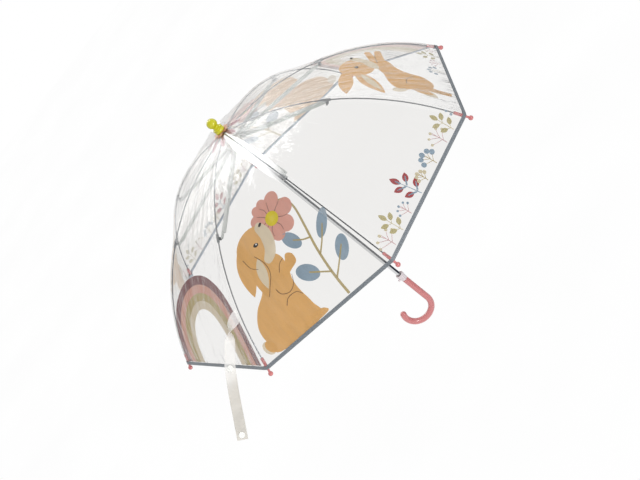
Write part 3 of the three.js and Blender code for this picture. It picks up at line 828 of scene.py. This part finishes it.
def tape_piece(rib):
    """Tape folded over the hem, bulging round the rib's tip."""
    shares = (0, 0.2, 0.4, 0.6, 0.75, 0.84, 0.89, 0.915, 0.934, 0.95, 0.964, 0.976, 0.988, 1.0)
    spans = gore_spans(rib, shares)
    # outside, the fold and inside, each with its share of the tape's height
    profile = [(-1, s) for s in (0, 0.35, 0.75, 1)] + [(0, 1.12)] + [(1, s) for s in (1, 0.75, 0.35, 0)]
    points = []
    for panel, across in spans:
        gap = (1 - abs(across)) * CORNER_R * SIN
        bulge = TIP_BULGE * float(np.exp(-(gap / TIP_REACH) ** 2))
        off = {-1: TAPE_STAND, 0: -bulge / 2, 1: -TAPE_STAND - bulge}
        for side, share in profile:
            angle = HEM + (TAPE_UP + OVERHANG) / ARC * (share - 1)
            points.append(film(panel, angle, across, off[side]))
    inner = [int(step >= 4) for _ in spans[1:] for step in range(len(profile) - 1)]
    faces = grid_faces(len(spans), len(profile))
    return mesh_object(f"hem_tape_{rib}", points, faces, ["tape", "tape_painted_sheen"], inner)


TIP_LENGTH, TIP_RADIUS, TIP_BALL, TIP_NECK = 0.020, 0.0026, 0.004, 0.008


def tip_profile():
    """A rounded sleeve with one raised ring, and a ball on its end."""
    edge, ring, ball_root = 0.0005, TIP_RADIUS * 1.04, 0.0019
    points = [(0.0014, 0.0)]
    points += [(TIP_RADIUS - edge * (1 - sin(t)), edge * (1 - cos(t)))
               for t in np.linspace(0, pi / 2, 6)]
    points += [(TIP_RADIUS, 0.008), (ring, 0.0085), (ring, 0.0098), (TIP_RADIUS, 0.0103),
               (TIP_RADIUS, TIP_LENGTH - 0.0004), (TIP_RADIUS * 0.94, TIP_LENGTH),
               (ball_root, TIP_LENGTH + 0.0008)]
    return points + ball(TIP_BALL, ball_root, TIP_LENGTH + TIP_NECK, 12)


def ball(radius, root, centre, steps):
    """The rest of a profile: a ball from its root to its top."""
    turns = np.linspace(pi - asin(root / radius), 0, steps)[:-1]
    return [(radius * sin(t), centre + radius * cos(t)) for t in turns] + [(0.0, centre + radius)]


def rib_frame(rib, angle, drop=0.0):
    """A frame on a rib: X to its left, Y inwards, Z towards the hem."""
    t = rib_azimuth(rib)
    reach = ARC - drop
    sine, cosine = sin(angle), cos(angle)
    along = Vector((cosine * cos(t), cosine * sin(t), -sine))
    inward = Vector((-sine * cos(t), -sine * sin(t), -cosine))
    place = Vector((0, 0, ARC_Z)) - reach * inward
    return Matrix.Translation(place) @ Matrix((inward.cross(along), inward, along)).transposed().to_4x4()


JOINT_R, LUG_DROP = 0.195, 0.006
JOINT = asin(JOINT_R / ARC)
SLEEVE_START = CORNER - 0.016 / ARC

for _rib in range(1, RIBS + 1):
    _arm = f"rib_arm_{_rib}"
    _film = finish_piece(gore_piece(_rib), _arm, "clear_film", f"canopy_gore_{_rib}")
    _tape = finish_piece(tape_piece(_rib), _arm, "clear_film")
    _ink = PRINTS[_rib]
    _print = mesh_object(f"print_{_rib}", _ink.points, _ink.faces, ["ink_" + name for name in _ink.inks],
                         _ink.index, uv=_ink.uv)
    finish_piece(_print, _arm, "clear_film")
    for _piece in (_film, _tape, _print):
        fold_with_rib(_piece)
    _tip = lathe(f"tip_{_rib}", tip_profile(), "tip_pink", 24, place=rib_frame(_rib, SLEEVE_START))
    finish_piece(_tip, _arm, "rib_tip_pink", f"rib_tip_{_rib}")

# ---- rivets at the stretchers' ends

RIVET = [(0, -0.0021), (0.0014, -0.0019), (0.0018, -0.0014), (0.0010, -0.0013),
         (0.0010, 0.0046), (0.0018, 0.0047), (0.0014, 0.0053), (0, 0.0055)]
for _rib in range(1, RIBS + 1):
    _at = rib_frame(_rib, JOINT, LUG_DROP) @ Matrix.Rotation(pi / 2, 4, "Y")
    _rivet = lathe(f"rivet_{_rib}", RIVET, "spring", 16, place=_at)
    finish_piece(_rivet, f"stretcher_arm_{_rib}", "spring_steel")

# ---- handle, cup and ferrule

GRIP_RADIUS, GRIP_HALF, HOOK_RADIUS, HOOK_TURN = 0.006, 0.031, 0.028, 204
HOOK_AZIMUTH = radians(170)


def handle_piece():
    """One moulded bar: rounded shoulder, straight grip, hook and a rounded end."""
    hook_steps, end_steps, sides = 60, 8, 28
    path = [(0.0, z, 0.0) for z in np.linspace(GRIP_HALF, -GRIP_HALF, 22)]
    path[0] = (0.0, GRIP_HALF - 0.0009, 0.0)
    for k in range(1, hook_steps + 1):
        t = radians(HOOK_TURN) * k / hook_steps
        path.append((HOOK_RADIUS * (1 - cos(t)), -GRIP_HALF - HOOK_RADIUS * sin(t), t))

    def ring(x, z, turn, radius):
        round_it = [(radius * cos(a), radius * sin(a)) for a in (tau * s / sides for s in range(sides))]
        return [(x + out * cos(turn), side, z + out * sin(turn)) for out, side in round_it]

    points = []
    for share in (0.72, 0.9, 0.975):
        points += ring(0, GRIP_HALF - 0.0002 * share, 0, GRIP_RADIUS * share)
    for k, step in enumerate(path):
        points += ring(*step, GRIP_RADIUS * (1.0 + 0.015 * exp(-((k - 2) / 2.0) ** 2)))
    x, z, t = path[-1]
    for k in range(1, end_steps + 1):
        a = pi / 2 * k / end_steps
        forward = GRIP_RADIUS * sin(a)
        points += ring(x + forward * sin(t), z - forward * cos(t), t, max(GRIP_RADIUS * cos(a), 1e-5))
    obj = mesh_object("handle_bar", points, grid_faces(len(points) // sides, sides, close=True), ["pink"])
    weld_ends(obj)
    obj.data.transform(Matrix.Rotation(HOOK_AZIMUTH, 4, "Z"))
    return obj


CUP_LOW, CUP_TALL, BORE = GRIP_HALF + 0.0003, 0.015, 0.00435


def collar_piece():
    """A flared cup round the shaft, on the handle's shoulder."""
    low, top = CUP_LOW, CUP_LOW + CUP_TALL
    outer = [(BORE, low), (0.0060, low), (0.0063, low + 0.0006)]
    outer += [(float(0.0063 + 0.0014 * smoothstep(s, 0.1, 1.0)), low + CUP_TALL * s * 0.9)
              for s in np.linspace(0.1, 1, 10)]
    outer += [(0.0076, top - 0.0006), (0.0073, top), (0.0064, top), (0.0061, top - 0.0006)]
    outer += [(0.0058, top - 0.002), (0.0050, top - 0.0036), (BORE, top - 0.004)]
    return lathe("cup", outer, "milk", 40)


def nub_piece():
    place = Matrix.Translation((-0.0084, 0, CUP_LOW + CUP_TALL - 0.009))
    profile = [(0.0017, -0.0020), (0.0019, -0.0006), (0.0023, 0.0004), (0.0023, 0.0012), (0.0016, 0.0021),
               (0.0007, 0.0024), (0.0, 0.0024)]
    return lathe("cup_nub", profile, "milk", 20, place=place @ Matrix.Rotation(-pi / 2, 4, "Y"))


def ferrule_piece():
    """A grooved drum under a ball."""
    low = APEX_Z + 0.0021
    top = low + 0.009
    radius, waist = 0.0092, 0.0061
    points = [(BORE, low), (0.0086, low), (0.0091, low + 0.0003), (0.0092, low + 0.0009),
              (0.0092, top - 0.0040), (0.0088, top - 0.0036), (0.0088, top - 0.0030), (0.0092, top - 0.0026),
              (0.0092, top - 0.0008), (0.0090, top - 0.0003), (0.0085, top), (0.0073, top + 0.0003),
              (waist, top + 0.0016)]
    return crease(lathe("tip_cap", points + ball(radius, waist, low + 0.0285 - radius, 18), "yellow"), 50)


def film_height(radius):
    """Height of the film over a rib at a radius."""
    angle = asin(radius / ARC)
    return ARC_Z + (ARC + float(film_lift(angle))) * cos(angle)


def rosette_piece():
    """Overlapping leaf-shaped petals of tinted film, fanned out under the ferrule."""
    points, faces, index = [], [], []
    petals, rows, columns = 10, 8, 5
    root, length, half = 0.0048, 0.0115, 0.0040
    stand, overlap, droop, camber = 0.00105, 0.00022, 0.0004, 0.0003
    for k in range(petals):
        turn = Matrix.Rotation(tau * (k + 0.15 * sin(3.3 * k)) / petals, 3, "Z")
        block = grid_faces(rows, columns, len(points))
        for share in np.linspace(0, 1, rows):
            reach = root + length * share
            wide = half * sin(pi * min(1.0, 0.30 + 0.70 * share)) ** 0.6 + 0.0001
            height = film_height(reach) + stand + overlap * (k % 3) - droop * share ** 2
            for s in np.linspace(-1, 1, columns):
                points.append(turn @ Vector((reach, s * wide, height + camber * (1 - s * s))))
        faces += block
        index += [k % 2] * len(block)
    return mesh_object("petals", points, faces, ["petal_brown", "petal_tan"], index)


finish_piece(handle_piece(), "shaft_group", "handle_pink", "handle")
finish_piece(collar_piece(), "shaft_group", "milky_plastic", "handle_collar")
finish_piece(nub_piece(), "shaft_group", "milky_plastic")
finish_piece(ferrule_piece(), "shaft_group", "tip_yellow", "ferrule")
finish_piece(rosette_piece(), "shaft_group", "rosette_film", "rosette")

# ---- strap and its press studs

STRAP_WIDTH, STRAP_THICK, STRAP_LENGTH = 0.017, 0.001, 0.198
STRAP_ROOT, STRAP_TWIST, STRAP_STAND = 0.093, 0.055, 0.0004


def compass(azimuth, elevation):
    a, e = radians(azimuth), radians(elevation)
    return Vector((cos(e) * cos(a), cos(e) * sin(a), sin(e)))


STRAP_DOWN, STRAP_FACE = compass(198.4, -33.9), compass(269.7, 25.5)
STRAP_SIDE = STRAP_FACE.cross(STRAP_DOWN).normalized()
STRAP_LIFT = FILM_LIFT + 0.00025 + STRAP_STAND + STRAP_THICK / 2
SEAM_FRAME = rib_frame(2, CORNER - STRAP_ROOT / ARC, -STRAP_LIFT)


def strap_lean(at):
    """How far the strap's middle leans off its own line, at a length from the seam."""
    mm = at / MM
    return radians(float(-28 + 28 * smoothstep(mm, 14, 34) + 8 * smoothstep(mm, 74, 92)
                              + 3 * smoothstep(mm, 100, 140)))


def strap_rows(count):
    """Middle, width direction and outward direction of the strap, from the seam to its free end."""
    place, seam = SEAM_FRAME.translation.copy(), SEAM_FRAME.to_3x3().col[2].copy()
    rows, pitch = [], STRAP_LENGTH / count
    for k in range(count + 1):
        at = k * pitch
        lean = strap_lean(at)
        path = cos(lean) * STRAP_DOWN + sin(lean) * STRAP_SIDE
        turn = pi * float(smoothstep(at, 0.006, STRAP_TWIST))
        flat = cos(lean) * STRAP_SIDE - sin(lean) * STRAP_DOWN
        twisted = cos(turn) * flat + sin(turn) * STRAP_FACE
        across = seam.lerp(twisted, float(smoothstep(at, 0, 0.014))).normalized()
        rows.append((at, place.copy(), across, path.cross(across).normalized()))
        ahead = strap_lean(at + pitch / 2)
        place += pitch * (cos(ahead) * STRAP_DOWN + sin(ahead) * STRAP_SIDE)
    return rows


def strap_band():
    """A strip with rounded, thicker edges and a doubled end under the cap."""
    half, edge = STRAP_WIDTH / 2, STRAP_THICK / 2
    right = [(half - 0.0019, edge * 0.7), (half - 0.0014, edge * 1.1), (half - edge * 0.4, edge)]
    section = [(-side, lift) for side, lift in right[::-1]] + [(0, edge * 0.75)] + right
    section += [(half, 0), (half - edge * 0.4, -edge), (0, -edge * 0.9), (-half + edge * 0.4, -edge),
                (-half, 0)]
    points = []
    for at, middle, across, out in STRAP_ROWS:
        fat = 1 + 0.7 * float(smoothstep(at, STRAP_LENGTH - 0.0145, STRAP_LENGTH - 0.013))
        points += [middle + across * side + out * lift * fat for side, lift in section]
    sides, count = len(section), len(STRAP_ROWS)
    faces = grid_faces(count, sides, close=True)
    faces += [tuple(range(sides))[::-1], tuple(range((count - 1) * sides, count * sides))]
    return crease(mesh_object("strap_band", points, faces, ["strap"]), 60)


STRAP_ROWS = strap_rows(132)
strap = finish_piece(strap_band(), "strap_end", "strap_film", "strap_tail")


def stud(name, at, profile, node):
    """One half of the press stud, with its profile's heights counted from the strap's face."""
    row = min(STRAP_ROWS, key=lambda r: abs(r[0] - at))
    place = Matrix.Translation(row[1]) @ STRAP_FACE.to_track_quat("Z", "Y").to_matrix().to_4x4()
    base = STRAP_THICK / 2 + STRAP_STAND
    obj = lathe(name, [(r, base + z) for r, z in profile], "white", 32, place=place)
    finish_piece(crease(obj, 40), "strap_end", "white_plastic", node)


stud("stud_lower", 0.087, [(0, 0), (0.0046, 0), (0.0050, 0.0004), (0.0049, 0.0010), (0.0044, 0.0013),
                           (0.0034, 0.0013), (0.0031, 0.0010), (0.0020, 0.0010), (0.0018, 0.0020),
                           (0.0013, 0.0024), (0, 0.0024)], "snap_stud")
stud("stud_cap", 0.191, [(0, 0), (0.0046, 0), (0.0050, 0.0003), (0.0050, 0.0009), (0.0044, 0.0015),
                         (0.0030, 0.0018), (0.0022, 0.0016), (0, 0.0015)], "snap_cap")

# ---- finishes of the carried-over nodes

NODE_FINISH = {"shaft_tube": "chrome", "canopy_washer": "white", "crown_notch": "white", "runner": "white"}
NODE_FINISH.update(dict.fromkeys(("crown_wire", "runner_wire", "stop_ring", "open_catch", "closed_catch"),
                                 "spring"))
for _rib in range(1, RIBS + 1):
    NODE_FINISH.update({f"rib_{_rib}": "wire", f"joint_clip_{_rib}": "clip", f"stretcher_{_rib}": "bar"})
for _name, _finish in NODE_FINISH.items():
    _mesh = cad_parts[_name].data
    _mesh.materials.clear()
    _mesh.materials.append(M[_finish])
    _mesh.polygons.foreach_set("use_smooth", [True] * len(_mesh.polygons))
    crease(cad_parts[_name], 38)

# ---- camera, floor and light

scene = bpy.context.scene
scene.view_settings.view_transform = "Standard"
AZIMUTH, ELEVATION, ROLL = -90.34, 25.51, radians(-51.80)
CAMERA_PLACE, LENS = (-0.0507, -1.7831, 1.0650), 63.2475


def camera():
    """The main view, rolled so that the umbrella leans."""
    upright = compass(AZIMUTH, ELEVATION).to_track_quat("Z", "Y").to_matrix()
    data = bpy.data.cameras.new("camera")
    data.sensor_width, data.lens, data.clip_end = 36.0, LENS, 50
    scene.camera = linked("camera", data)
    turn = upright @ Matrix.Rotation(ROLL, 3, "Z")
    scene.camera.matrix_world = Matrix.Translation(CAMERA_PLACE) @ turn.to_4x4()


def soft_light(name, place, aim, size, power):
    data = bpy.data.lights.new(name, "AREA")
    data.shape, data.size, data.size_y, data.energy = "RECTANGLE", size[0], size[1], power
    obj = linked(name, data)
    obj.location = place
    obj.rotation_euler = (Vector(aim) - Vector(place)).to_track_quat("-Z", "Y").to_euler()
    return obj


def shine(*says):
    """A light that only shows as a reflection."""
    lamp = soft_light(*says)
    lamp.visible_diffuse = lamp.visible_transmission = False


camera()
scene.world = studio_world()
soft_light("over", (0.1, 1.35, 2.3), (0, 0, 0.42), (1.5, 0.8), 17)
soft_light("front", (0.6, -2.4, 0.9), (0, 0, 0.3), (1.2, 1.2), 32).visible_glossy = False
shine("backdrop", (1.5, 2.2, 1.3), (0, 0, 0.35), (2.0, 2.0), 7)
shine("backdrop_left", (-0.7, 2.1, 1.85), (0, 0, 0.4), (1.5, 1.2), 15)
shine("glint", (0.85, -2.0, 0.23), (0, 0, 0.3), (0.4, 0.4), 12)
shine("strip", (0.62, 0.7, 2.35), (0, 0, 0.42), (0.25, 1.2), 5)


def dark_card():
    """A curved dark board beside the set that the camera doesn't see; shiny surfaces show it, and it darkens
    the diffuse light from that side.
    """
    steps, radius, low, high = 16, 1.3, -0.8, 0.05
    turns = np.radians(np.linspace(-82, 44, steps + 1))
    points = [(radius * cos(t), radius * sin(t), z) for t in turns for z in (low, high)]
    card = mesh_object("board_right", points, grid_faces(steps + 1, 2), ["board"])
    card.visible_camera = card.visible_transmission = card.visible_shadow = False


dark_card()
FLOOR_HALF, FLOOR_Z = 9, -0.9
_corners = [(x * FLOOR_HALF, y * FLOOR_HALF, FLOOR_Z) for x, y in ((-1, -1), (1, -1), (1, 1), (-1, 1))]
mesh_object("floor", _corners, [(0, 1, 2, 3)], ["floor"])
